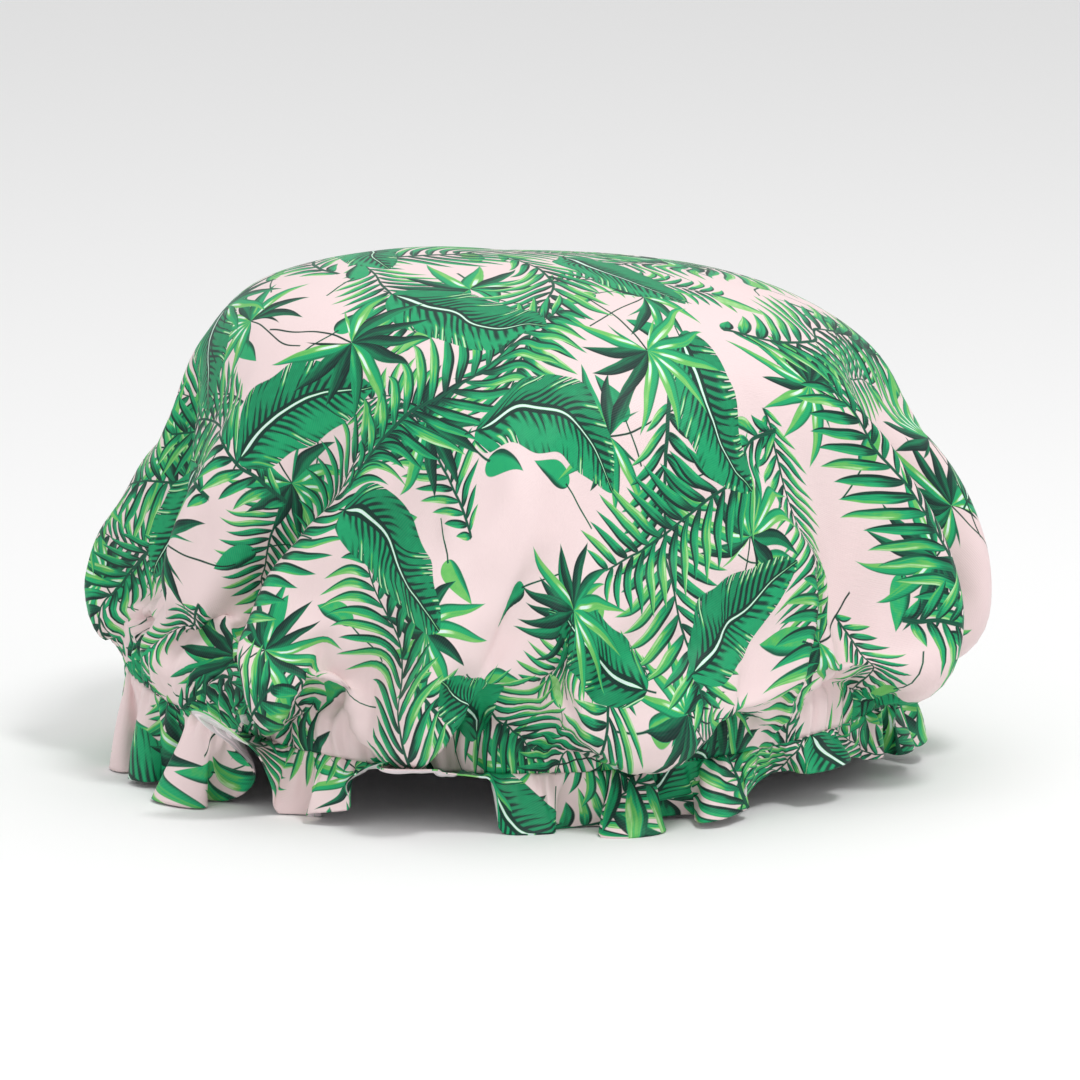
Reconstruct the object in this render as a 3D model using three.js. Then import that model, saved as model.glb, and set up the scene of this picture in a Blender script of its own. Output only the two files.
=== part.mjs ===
// A gathered shower cap of printed satin twill, standing on its own ruffle.
// Millimetres, +Z up, +X to the right of the front view, which looks along +Y.
// The origin is on the standing plane, under the middle of the cap.
import * as THREE from "three";

// The crown, over everything.
const crown_width = 256;
const crown_depth = 222;
const crown_height = 150;

// The gathered line that grips the head, and how far it lies to the left of the crown.
const opening_width = 226;
const opening_depth = 182;
const opening_shift = 8;

// The casing: a flat band of cloth that holds the elastic, and how high its lower edge is.
const casing_height = 10;
const casing_level = 20;

// The ruffle below the casing: its cut depth, the size of its waves at the hem, and how far their crests
// sway along the hem.
const ruffle_depth = 30;
const ruffle_wave = 5.5;
const ruffle_sway = 3;
const ruffle_waves = 25;
const standing_cut = 0.5;

// Cloth, film, tape, elastic and thread.
const cloth_thickness = 1;
const ruffle_thickness = 1.2;
const film_thickness = 0.6;
const elastic_thickness = 1.2;
const elastic_width = 8;
const tape_thickness = 0.8;
const tape_width = 12;
const thread_diameter = 0.8;
const tack_thickness = 0.5;
const tack_length = 7;
const tack_width = 6;
const clearance = 0.3;

// Depth of the crown's deepest fold, and how far a fold lifts the cloth that hangs between two folds.
const fold_depth = 16;
const fold_lift = 10;

// Facets: columns round the crown, columns of the ruffle, and sides of a thread.
const crown_columns = 52;
const ruffle_columns = 200;
const thread_sides = 4;

const full_angle = 2 * Math.PI;

// Rings of the crown from its top to the casing. Heights are shares of the crown's height above the
// casing's lower edge, reaches are shares of half the crown's width or depth, each right, back, left, front.
const ring_shares = [
  { height: [0.975, 0.97, 1.0, 0.975], reach: [0.26, 0.24, 0.33, 0.24], fold: 0 },
  { height: [0.91, 0.91, 0.955, 0.915], reach: [0.54, 0.53, 0.56, 0.52], fold: 0.05 },
  { height: [0.79, 0.8, 0.88, 0.79], reach: [0.75, 0.74, 0.7, 0.73], fold: 0.2 },
  { height: [0.64, 0.66, 0.7, 0.635], reach: [0.875, 0.88, 0.82, 0.87], fold: 0.45 },
  { height: [0.5, 0.51, 0.5, 0.49], reach: [0.96, 0.965, 0.925, 0.955], fold: 0.7 },
  { height: [0.37, 0.36, 0.34, 0.34], reach: [1.0, 1.0, 0.98, 1.0], fold: 0.9 },
  { height: [0.26, 0.25, 0.22, 0.21], reach: [0.99, 1.0, 1.0, 1.01], fold: 0.85 },
  { height: [0.15, 0.14, 0.12, 0.1], reach: [0.93, 0.95, 0.99, 0.96], fold: 0.45 },
];

// The top of the crown lies a little left of its middle, at this share of half the width.
const apex_share = 0.16;

// Main folds: turn share where the fold starts near the top and where it meets the casing, then its
// width before and after its line as turn shares, its depth share, and the ring share where it fades out.
const fold_shares = [
  { top: 0.69, foot: 0.597, before: 0.03, after: 0.014, depth: 1, start: 0.3 },
  { top: 0.8, foot: 0.742, before: 0.012, after: 0.032, depth: 0.9, start: 0.65 },
  { top: 0.885, foot: 0.868, before: 0.014, after: 0.026, depth: 0.8, start: 0.6 },
  { top: 0.955, foot: 0.957, before: 0.012, after: 0.024, depth: 0.9, start: 0.5 },
  { top: 0.675, foot: 0.677, before: 0.014, after: 0.014, depth: 0.6, start: 0.8 },
  { top: 0.55, foot: 0.553, before: 0.016, after: 0.02, depth: 0.5, start: 0.65 },
  { top: 0.06, foot: 0.045, before: 0.02, after: 0.016, depth: 0.8, start: 0.55 },
  { top: 0.13, foot: 0.14, before: 0.016, after: 0.024, depth: 0.9, start: 0.5 },
  { top: 0.215, foot: 0.225, before: 0.022, after: 0.016, depth: 0.8, start: 0.6 },
  { top: 0.29, foot: 0.3, before: 0.016, after: 0.022, depth: 0.9, start: 0.5 },
  { top: 0.37, foot: 0.38, before: 0.022, after: 0.016, depth: 0.8, start: 0.5 },
  { top: 0.46, foot: 0.465, before: 0.018, after: 0.02, depth: 0.8, start: 0.55 },
];

// How far before and after its start a fold deepens, as a share of the way down.
const fold_fade_share = 0.2;

// How high the casing's lower edge is on the right, back, left and front, as shares of its level.
const casing_level_shares = [1.15, 1.0, 1.5, 0.78];

// The ruffle's hem: turn share, then its reach past the casing and its height over the standing plane as
// shares of the ruffle's depth. The hem lifts into an arch where the height is large.
const hem_shares = [
  { at: 0.0, reach: 0.0, height: 0.2 },
  { at: 0.04, reach: 0.05, height: 0.02 },
  { at: 0.11, reach: 0.2, height: 0.0 },
  { at: 0.18, reach: 0.25, height: 0.12 },
  { at: 0.25, reach: 0.2, height: 0.0 },
  { at: 0.33, reach: 0.25, height: 0.1 },
  { at: 0.4, reach: 0.15, height: 0.0 },
  { at: 0.46, reach: 0.05, height: 0.05 },
  { at: 0.52, reach: 0.0, height: 0.0 },
  { at: 0.58, reach: 0.05, height: 0.06 },
  { at: 0.622, reach: 0.15, height: 0.0 },
  { at: 0.641, reach: 0.55, height: 1.12 },
  { at: 0.658, reach: 0.1, height: 0.0 },
  { at: 0.682, reach: 0.15, height: 0.14 },
  { at: 0.7, reach: 0.5, height: 0.72 },
  { at: 0.738, reach: 0.5, height: 0.6 },
  { at: 0.75, reach: 0.2, height: 0.0 },
  { at: 0.79, reach: 0.25, height: 0.0 },
  { at: 0.818, reach: 0.2, height: 0.06 },
  { at: 0.847, reach: 0.15, height: 0.1 },
  { at: 0.864, reach: 0.1, height: 0.36 },
  { at: 0.9, reach: 0.06, height: 0.38 },
  { at: 0.95, reach: 0.02, height: 0.24 },
];

// A value between four sides, as a share of each that follows the squares of sine and cosine.
function around([right, back, left, front], angle) {
  const c = Math.cos(angle);
  const s = Math.sin(angle);
  return (c > 0 ? right : left) * c * c + (s > 0 ? back : front) * s * s;
}

// The distance from the middle to an oval with its own reach on each side.
function oval(angle, right, back, left, front) {
  const c = Math.cos(angle);
  const s = Math.sin(angle);
  return 1 / Math.hypot(c / (c > 0 ? right : left), s / (s > 0 ? back : front));
}

// The height of the casing's lower edge.
function casing_foot(angle) {
  return casing_level * around(casing_level_shares, angle);
}

// A point of the casing's outer face, moved in towards the middle by inset.
function on_casing(angle, height, inset) {
  const half_width = opening_width / 2 - inset;
  const half_depth = opening_depth / 2 - inset;
  return new THREE.Vector3(
    half_width * Math.cos(angle) - opening_shift,
    half_depth * Math.sin(angle),
    casing_foot(angle) + height,
  );
}

// How deep the crown's folds are at an angle, from 0 to about 1, on the way from top, 0, to casing, 1.
function fold_at(angle, way) {
  let deep = 0;
  for (const fold of fold_shares) {
    const line = fold.top + (fold.foot - fold.top) * way;
    let off = angle / full_angle - line;
    off -= Math.round(off);
    const width = off < 0 ? fold.before : fold.after;
    const fade = THREE.MathUtils.smoothstep(
      way,
      fold.start - fold_fade_share,
      fold.start + fold_fade_share,
    );
    deep += fold.depth * fade * Math.exp(-((off / width) ** 2));
  }
  return deep;
}

// The outer face of the crown: its rings from the first one under the top to the casing's lower edge.
function crown_rows() {
  const half_width = crown_width / 2;
  const half_depth = crown_depth / 2;
  const rows = ring_shares.map((ring, i) => {
    const way = (i + 1) / ring_shares.length;
    const row = [];
    for (let j = 0; j < crown_columns; j++) {
      const angle = (full_angle * j) / crown_columns;
      const [right, back, left, front] = ring.reach;
      const deep = fold_at(angle, way);
      const reach =
        oval(angle, half_width * right, half_depth * back, half_width * left, half_depth * front) -
        fold_depth * ring.fold * deep;
      const foot = casing_foot(angle);
      const lift = i === ring_shares.length - 1 ? fold_lift * deep : 0;
      const height = foot + (crown_height - foot) * around(ring.height, angle) + lift;
      row.push(new THREE.Vector3(reach * Math.cos(angle), reach * Math.sin(angle), height));
    }
    return row;
  });
  for (const height of [casing_height, 0])
    rows.push(
      Array.from({ length: crown_columns }, (_, j) =>
        on_casing((full_angle * j) / crown_columns, height, 0),
      ),
    );
  return rows;
}

// The direction out of a closed band of rows at each point, level on the rows that keep their height.
function outward(rows, apex, level_rows) {
  const columns = rows[0].length;
  return rows.map((row, i) =>
    row.map((point, j) => {
      const above = i > 0 ? rows[i - 1][j] : apex || point;
      const below = i < rows.length - 1 ? rows[i + 1][j] : point;
      const before = row[(j + columns - 1) % columns];
      const after = row[(j + 1) % columns];
      const out = new THREE.Vector3()
        .subVectors(after, before)
        .cross(new THREE.Vector3().subVectors(above, below));
      if (level_rows.includes(i)) out.z = 0;
      return out.normalize();
    }),
  );
}

// The rows moved inwards along the given directions.
function moved_in(rows, directions, distance) {
  return rows.map((row, i) =>
    row.map((point, j) => point.clone().addScaledVector(directions[i][j], -distance)),
  );
}

// A closed mesh from points and from faces that count round them as seen from outside.
function mesh_of(points, faces) {
  const geometry = new THREE.BufferGeometry();
  const flat = points.flatMap((p) => [p.x, p.y, p.z]);
  geometry.setAttribute("position", new THREE.Float32BufferAttribute(flat, 3));
  geometry.setIndex(faces);
  geometry.computeVertexNormals();
  return geometry;
}

// A dome of cloth: an outer and an inner skin, each closed at its own top point, joined at the lower edge.
function dome(outer, outer_top, inner, inner_top) {
  const columns = outer[0].length;
  const points = [outer_top, ...outer.flat(), inner_top, ...inner.flat()];
  const inner_start = 1 + outer.length * columns;
  const faces = [];
  const at = (start, i, j) => start + 1 + i * columns + (j % columns);
  for (let j = 0; j < columns; j++) {
    faces.push(0, at(0, 0, j), at(0, 0, j + 1));
    faces.push(inner_start, at(inner_start, 0, j + 1), at(inner_start, 0, j));
    for (let i = 0; i + 1 < outer.length; i++)
      for (const [start, flip] of [
        [0, false],
        [inner_start, true],
      ]) {
        const a = at(start, i, j);
        const b = at(start, i, j + 1);
        const c = at(start, i + 1, j + 1);
        const d = at(start, i + 1, j);
        faces.push(...(flip ? [a, b, c, a, c, d] : [a, d, c, a, c, b]));
      }
    const last = outer.length - 1;
    const a = at(0, last, j);
    const b = at(0, last, j + 1);
    const c = at(inner_start, last, j + 1);
    const d = at(inner_start, last, j);
    faces.push(a, d, c, a, c, b);
  }
  return mesh_of(points, faces);
}

// A closed band: loops of points that follow one another round the band's section, each loop round the cap.
function band(loops) {
  const columns = loops[0].length;
  const points = loops.flat();
  const faces = [];
  for (let i = 0; i < loops.length; i++)
    for (let j = 0; j < columns; j++) {
      const next = ((i + 1) % loops.length) * columns;
      const a = i * columns + j;
      const b = i * columns + ((j + 1) % columns);
      const c = next + ((j + 1) % columns);
      const d = next + j;
      faces.push(a, d, c, a, c, b);
    }
  return mesh_of(points, faces);
}

// A loop round the casing at a height over its lower edge and an inset from its outer face.
function casing_loop(height, inset) {
  return Array.from({ length: crown_columns }, (_, j) =>
    on_casing((full_angle * j) / crown_columns, height, inset),
  );
}

// A flat tape or elastic in the casing: outer face down, inner face up.
function casing_band(low, high, inset, thickness) {
  return band([
    casing_loop(high, inset),
    casing_loop(low, inset),
    casing_loop(low, inset + thickness),
    casing_loop(high, inset + thickness),
  ]);
}

// A row of thread on the tape's inner face.
function thread_ring(height, inset) {
  const loops = [];
  for (let i = 0; i < thread_sides; i++) {
    const round = (full_angle * i) / thread_sides;
    loops.push(
      casing_loop(
        height + (thread_diameter / 2) * Math.cos(round),
        inset + (thread_diameter / 2) * (1 - Math.sin(round - full_angle / 2)),
      ),
    );
  }
  return band(loops.reverse());
}

// The hem's reach and height between its listed places, eased from each to the next.
function hem_at(share) {
  const after = hem_shares.findIndex((place) => place.at > share);
  const last = hem_shares.length - 1;
  const next = after < 0 ? { ...hem_shares[0], at: hem_shares[0].at + 1 } : hem_shares[after];
  const here = after < 0 ? hem_shares[last] : hem_shares[after - 1];
  const ease = THREE.MathUtils.smoothstep(share, here.at, next.at);
  return {
    reach: ruffle_depth * (here.reach + (next.reach - here.reach) * ease),
    height: ruffle_depth * (here.height + (next.height - here.height) * ease),
  };
}

// The ruffle: rows from the casing's lower edge to the hem, waved more and more on the way down. The waves
// vary in length and size round the cap.
function ruffle_rows() {
  const way_shares = [0, 0.45, 1];
  return way_shares.map((way) => {
    const row = [];
    for (let j = 0; j < ruffle_columns; j++) {
      const share = j / ruffle_columns;
      const angle = full_angle * share;
      const foot = on_casing(angle, -clearance, 0);
      const out = new THREE.Vector3(
        Math.cos(angle) / opening_width,
        Math.sin(angle) / opening_depth,
        0,
      ).normalize();
      const along = new THREE.Vector3(-out.y, out.x, 0);
      const hem = hem_at(share);
      const wander = 1.2 * Math.sin(3 * angle) + 0.6 * Math.sin(7 * angle + 2);
      const phase = angle * ruffle_waves + wander + 0.6 * way * Math.sin(5 * angle + 1);
      const size = 1 + 0.35 * Math.sin(5 * angle + 1) + 0.3 * Math.sin(11 * angle + 3);
      const reach = hem.reach * way + ruffle_wave * size * way * Math.cos(phase);
      const sway = ruffle_sway * size * way * Math.sin(2 * phase);
      const height = foot.z + (hem.height - foot.z) * way - standing_cut * way;
      row.push(
        foot
          .clone()
          .setZ(Math.max(height, 0))
          .addScaledVector(out, reach)
          .addScaledVector(along, sway),
      );
    }
    return row;
  });
}

function ruffle_geometry() {
  const outer = ruffle_rows();
  const level_rows = [0, outer.length - 1];
  const inner = moved_in(outer, outward(outer, null, level_rows), ruffle_thickness);
  return band([...outer, ...inner.reverse()]);
}

// The sewn join of the elastic's two lapped ends: a block of thread at the back, on its inner face.
function tack_geometry() {
  const inset = cloth_thickness + clearance + elastic_thickness + clearance;
  const middle = on_casing(full_angle / 4, casing_height / 2, inset + tack_thickness / 2);
  return new THREE.BoxGeometry(tack_length, tack_thickness, tack_width).translate(
    middle.x,
    middle.y,
    middle.z,
  );
}

const cap = new THREE.Group();

function add(name, geometry, color, roughness) {
  const material = new THREE.MeshStandardMaterial({ color, roughness, metalness: 0 });
  const mesh = new THREE.Mesh(geometry, material);
  mesh.name = name;
  cap.add(mesh);
}

const crown_outer = crown_rows();
const crown_top = new THREE.Vector3((-apex_share * crown_width) / 2, 0, crown_height);
const level_rows = [crown_outer.length - 2, crown_outer.length - 1];
const crown_out = outward(crown_outer, crown_top, level_rows);
const crown_inner = moved_in(crown_outer, crown_out, cloth_thickness);
const down = (distance) => crown_top.clone().setZ(crown_top.z - distance);
add("crown_panel", dome(crown_outer, crown_top, crown_inner, down(cloth_thickness)), "#f1c9cf", 0.55);

// The film lies against the cloth down to the casing, where it ends above the elastic.
const film_rows = crown_outer.slice(0, -1);
const film_outer = moved_in(film_rows, crown_out, cloth_thickness + clearance);
const film_inner = moved_in(film_rows, crown_out, cloth_thickness + clearance + film_thickness);
add(
  "waterproof_liner",
  dome(
    film_outer,
    down(cloth_thickness + clearance),
    film_inner,
    down(cloth_thickness + clearance + film_thickness),
  ),
  "#f3eef2",
  0.35,
);

add("ruffle", ruffle_geometry(), "#1f9a63", 0.55);

const elastic_low = (casing_height - elastic_width) / 2;
const elastic_inset = cloth_thickness + clearance;
add(
  "elastic_band",
  casing_band(elastic_low, elastic_low + elastic_width, elastic_inset, elastic_thickness),
  "#f2f0f3",
  0.8,
);
add("elastic_bar_tack", tack_geometry(), "#e8e4ea", 0.7);

const tape_inset = elastic_inset + elastic_thickness + clearance + tack_thickness + clearance;
add("casing_tape", casing_band(0, tape_width, tape_inset, tape_thickness), "#e6deef", 0.7);

const thread_inset = tape_inset + tape_thickness + clearance;
add("casing_stitch_upper", thread_ring(casing_height, thread_inset), "#f4f0f4", 0.6);
add("casing_stitch_lower", thread_ring(thread_diameter, thread_inset), "#f4f0f4", 0.6);

// The origin is under the middle of everything.
const box = new THREE.Box3().setFromObject(cap);
const middle = box.getCenter(new THREE.Vector3());
cap.position.set(-middle.x, -middle.y, -box.min.z);

export default cap;
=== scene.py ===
"""A gathered shower cap of printed satin twill that stands on its own ruffle. Metres, +Z up, front at -Y."""

import math

import bpy
import numpy as np
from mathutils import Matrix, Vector


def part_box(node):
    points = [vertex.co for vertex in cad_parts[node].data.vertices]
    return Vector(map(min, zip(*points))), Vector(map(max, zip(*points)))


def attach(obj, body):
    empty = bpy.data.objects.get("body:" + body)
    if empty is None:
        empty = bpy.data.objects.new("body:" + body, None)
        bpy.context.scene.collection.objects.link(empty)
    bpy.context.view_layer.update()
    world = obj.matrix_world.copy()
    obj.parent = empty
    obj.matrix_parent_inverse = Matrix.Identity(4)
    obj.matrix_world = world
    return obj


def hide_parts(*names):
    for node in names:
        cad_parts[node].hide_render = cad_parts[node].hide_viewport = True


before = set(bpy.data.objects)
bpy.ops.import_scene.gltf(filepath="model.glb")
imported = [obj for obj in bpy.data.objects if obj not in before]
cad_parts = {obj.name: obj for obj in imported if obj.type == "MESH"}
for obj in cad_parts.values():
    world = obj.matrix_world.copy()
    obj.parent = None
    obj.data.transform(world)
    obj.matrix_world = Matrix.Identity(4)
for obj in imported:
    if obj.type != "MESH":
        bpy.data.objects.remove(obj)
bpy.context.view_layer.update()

MM = 0.001
FULL_ANGLE = 2 * math.pi

# The crown, and the gathered oval that grips the head. The tape inside it gives the oval's size and place. Up
# to a height over the casing's foot no cloth lies inside the oval, and a fade follows.
CROWN_WIDTH = 256 * MM
CROWN_DEPTH = 222 * MM
CROWN_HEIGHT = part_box("crown_panel")[1].z
TAPE_INSET = 3.6 * MM
TAPE_WIDTH = 12 * MM
CASING_HEIGHT = 10 * MM
CASING_CLEAR = 12 * MM
CASING_CLEAR_FADE = 3 * MM
CASING_LEVEL = 20 * MM
OPENING_SHIFT = 8 * MM
APEX_SHARE = 0.16
tape_low, tape_high = (np.array(corner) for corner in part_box("casing_tape"))
OPENING_HALF = (tape_high - tape_low)[:2] / 2 + TAPE_INSET
OPENING_MIDDLE = (tape_high + tape_low)[:2] / 2
CROWN_MIDDLE = OPENING_MIDDLE + [OPENING_SHIFT, 0]

# Cloth: how thick it is, how deep the crown's folds are, how far they lift the cloth's foot, and how far
# cloth hangs over them.
CLOTH = 0.45 * MM
FOLD_DEPTH = 24 * MM
FOLD_LIFT = 16 * MM
OVERHANG = 9 * MM

# Rings of the crown from its top to the casing, on the right, back, left and front: heights as shares of the
# crown's height above the casing's foot, reaches as shares of half its width or depth, then the folds' share.
RING_SHARES = (
    ((0.975, 0.97, 1.0, 0.975), (0.26, 0.24, 0.33, 0.24), 0.0),
    ((0.91, 0.91, 0.955, 0.915), (0.54, 0.53, 0.56, 0.52), 0.05),
    ((0.79, 0.8, 0.88, 0.79), (0.75, 0.74, 0.7, 0.73), 0.2),
    ((0.64, 0.66, 0.7, 0.635), (0.875, 0.88, 0.82, 0.87), 0.45),
    ((0.5, 0.51, 0.5, 0.49), (0.96, 0.965, 0.925, 0.955), 0.7),
    ((0.37, 0.36, 0.34, 0.34), (1.0, 1.0, 0.98, 1.0), 0.9),
    ((0.24, 0.23, 0.22, 0.19), (1.0, 1.0, 1.0, 1.01), 0.9),
    ((0.12, 0.11, 0.11, 0.06), (0.96, 0.97, 0.99, 0.98), 0.5),
)
CASING_LEVEL_SHARES = (1.15, 1.0, 1.5, 0.78)

# Main folds: turn share at the top and at the foot, width before and after the fold as turn shares, depth
# share, the share of the way down where it starts, and how far the cloth before it hangs over it.
FOLD_SHARES = (
    (0.69, 0.597, 0.03, 0.014, 1.1, 0.3, -0.8),
    (0.8, 0.742, 0.012, 0.032, 0.9, 0.65, 1.0),
    (0.885, 0.868, 0.014, 0.026, 0.8, 0.6, 0.6),
    (0.955, 0.957, 0.012, 0.024, 0.9, 0.5, 1.0),
    (0.675, 0.677, 0.014, 0.014, 0.6, 0.8, 0.3),
    (0.55, 0.553, 0.016, 0.02, 0.5, 0.65, -0.3),
    (0.06, 0.045, 0.02, 0.016, 0.8, 0.55, -0.6),
    (0.13, 0.14, 0.016, 0.024, 0.9, 0.5, 0.7),
    (0.215, 0.225, 0.022, 0.016, 0.8, 0.6, -0.5),
    (0.29, 0.3, 0.016, 0.022, 0.9, 0.5, 0.6),
    (0.37, 0.38, 0.022, 0.016, 0.8, 0.5, -0.7),
    (0.46, 0.465, 0.018, 0.02, 0.8, 0.55, 0.5),
)
FOLD_FADE_SHARE = 0.2

# The net of cloth: its rings, the form it is read from, spare cloth round each ring and down it by the way
# down, and the pleats that take it up, with the waves that bend them.
RINGS = 62
FORM_COLUMNS = 720
PROFILE_STEPS = 24
SPARE_WAYS = (0.0, 0.6, 0.75, 0.85, 0.94, 1.0)
SPARE_SHARES = (0.0, 0.0, 0.05, 0.15, 0.28, 0.34)
SPARE_DOWN = 0.04
SPARE_DOWN_WAYS = (0.5, 0.75)
PLEATS = 14
PLEAT_FADE = (1.0, 0.93)
PLEAT_BENDS = ((3, 0.9, 1), (5, 0.7, 4), (8, 0.5, 2))

# How the net settles: how strongly it is kept in place at its top and further down, the ways down between
# which it is let go, how far apart its layers stay, and the cloth's own settings.
HOLD_TOP = 0.9
HOLD_SOFT = 0.017
HOLD_WAYS = (0.64, 0.2)
HELD_RINGS = 3
HELD_FOOT = CASING_HEIGHT + 2 * MM
DRAPE_FRAMES = 30
LAYERS_APART = 1.2 * MM
GRAVITY_SHARE = 0.05
CLOTH_SETTINGS = {
    "quality": 5,
    "mass": 0.3,
    "tension_stiffness": 20,
    "compression_stiffness": 5,
    "shear_stiffness": 8,
    "bending_stiffness": 7.0,
    "tension_damping": 5,
    "compression_damping": 5,
    "shear_damping": 5,
    "bending_damping": 0.5,
    "air_damping": 2,
    "pin_stiffness": 1,
    "use_pressure": True,
    "uniform_pressure_force": 14.0,
}

# The crown's finished grid: its rows stand closer towards the casing.
CROWN_ROWS = 70
CROWN_COLUMNS = 680
FIRST_RING = 0.6
ROW_POWER = 1.25

# The fine gathers by the casing: how many go round in two trains, how deep and how proud they are, how far up
# the crown and down the ruffle they fade out, and how much of them a row of stitches presses flat.
GATHERS = (118, 191)
GATHER_DEPTH = 1.2 * MM
GATHER_PROUD = 0.4
GATHER_FADE = 26 * MM
GATHER_DROP = 13 * MM
STITCHED_FLAT = 0.55

# The ruffle below the casing: its waves in and out, their sway along the hem, the creases between the
# gathers and the waves, its grid, and its gaps to the crown and to the floor.
RUFFLE_DEPTH = 30 * MM
RUFFLE_WAVE = 5.5 * MM
RUFFLE_SWAY = 4 * MM
RUFFLE_WAVES = 25
CREASE = 1.5 * MM
CREASES = 61
RUFFLE_COLUMNS = 1600
RUFFLE_ROWS = 28
RUFFLE_GAP = 0.05 * MM
HEM_CLEAR = 0.45 * MM

# What the casing holds, as insets from the cloth's outer face and heights over its lower edge.
ELASTIC_INSET = 1.3 * MM
ELASTIC_THICK = 1.2 * MM
ELASTIC_WIDTH = 8 * MM
ELASTIC_RIBS = 9
ELASTIC_COLUMNS = 480
TACK_INSET = 3.05 * MM
TACK_SIZE = (7 * MM, 6 * MM)
TACK_PASSES = 15
TAPE_THICK = 0.8 * MM
TAPE_RIBS = 5
TAPE_COLUMNS = 900
RIB_DEPTH = 0.22 * MM
THREAD = 0.5 * MM
STITCHES = 190
STITCH_SHARE = 0.8
STITCH_LEVELS = (10 * MM, 0.8 * MM)

# The film inside the crown: how far in it lies from the cloth and at its edge, how thick it is, the height of
# the point it is measured from, its grid, how many cells round each the film is eased over, and the way down
# from which it runs out to its edge.
FILM_INSET = 1.3 * MM
FILM_EDGE_INSET = 2.5 * MM
FILM = 0.25 * MM
FILM_MIDDLE = 25 * MM
FILM_ROWS = 48
FILM_COLUMNS = 240
FILM_SOFT = 3
FILM_RUN_OUT = 0.97

# The hem: turn share, reach past the casing and height over the floor as shares of the ruffle's depth.
HEM_SHARES = (
    (0.0, 0.0, 0.2),
    (0.04, 0.05, 0.02),
    (0.11, 0.2, 0.0),
    (0.18, 0.25, 0.12),
    (0.25, 0.2, 0.0),
    (0.33, 0.25, 0.1),
    (0.4, 0.15, 0.0),
    (0.46, 0.05, 0.05),
    (0.52, 0.0, 0.0),
    (0.58, 0.05, 0.06),
    (0.622, 0.15, 0.0),
    (0.641, 0.6, 1.12),
    (0.658, 0.1, 0.0),
    (0.682, 0.15, 0.14),
    (0.7, 0.5, 0.72),
    (0.738, 0.5, 0.6),
    (0.75, 0.2, 0.0),
    (0.79, 0.25, 0.0),
    (0.818, 0.2, 0.06),
    (0.847, 0.15, 0.1),
    (0.864, 0.1, 0.36),
    (0.9, 0.06, 0.38),
    (0.95, 0.02, 0.24),
)


def smooth(x, low, high):
    """Rises from 0 at low to 1 at high along a cubic that is level at both ends."""
    t = np.clip((x - low) / (high - low), 0, 1)
    return t * t * (3 - 2 * t)


def cubic(points, f):
    """A Catmull-Rom curve at share f between the middle two of four points."""
    a, b, c, d = points
    return 0.5 * (2 * b + (c - a) * f + (2 * a - 5 * b + 4 * c - d) * f**2 + (3 * b - a - 3 * c + d) * f**3)


def around(four, angle):
    """A value between its right, back, left and front ones, by the squares of sine and cosine."""
    c, s = np.cos(angle), np.sin(angle)
    return np.where(c > 0, four[0], four[2]) * c * c + np.where(s > 0, four[1], four[3]) * s * s


def oval(angle, four):
    """The distance from the middle to an oval with its own reach on each side."""
    c, s = np.cos(angle), np.sin(angle)
    return 1 / np.hypot(c / np.where(c > 0, four[0], four[2]), s / np.where(s > 0, four[1], four[3]))


def casing_foot(angle):
    """The height of the casing's lower edge."""
    return CASING_LEVEL * around(CASING_LEVEL_SHARES, angle)


def on_casing(angle, height, inset=0.0):
    """Points of the casing's outer face, a height over its lower edge, moved in by an inset."""
    x = OPENING_MIDDLE[0] + (OPENING_HALF[0] - inset) * np.cos(angle)
    y = OPENING_MIDDLE[1] + (OPENING_HALF[1] - inset) * np.sin(angle)
    return np.stack([x, y, casing_foot(angle) + height], -1)


def folds_at(angle, way):
    """How deep the main folds are, and how far their cloth hangs sideways: bells round each fold's line."""
    deep, lean = np.zeros_like(angle), np.zeros_like(angle)
    for top, foot, before, after, depth, start, over in FOLD_SHARES:
        off = angle / FULL_ANGLE - (top + (foot - top) * way)
        off = off - np.round(off)
        bell = np.exp(-((off / np.where(off < 0, before, after)) ** 2))
        fade = depth * smooth(way, start - FOLD_FADE_SHARE, start + FOLD_FADE_SHARE)
        side = np.exp(-(((off + math.copysign(before, over)) / (before + after)) ** 2))
        deep += fade * bell
        lean += fade * over * side
    return deep, lean


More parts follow.
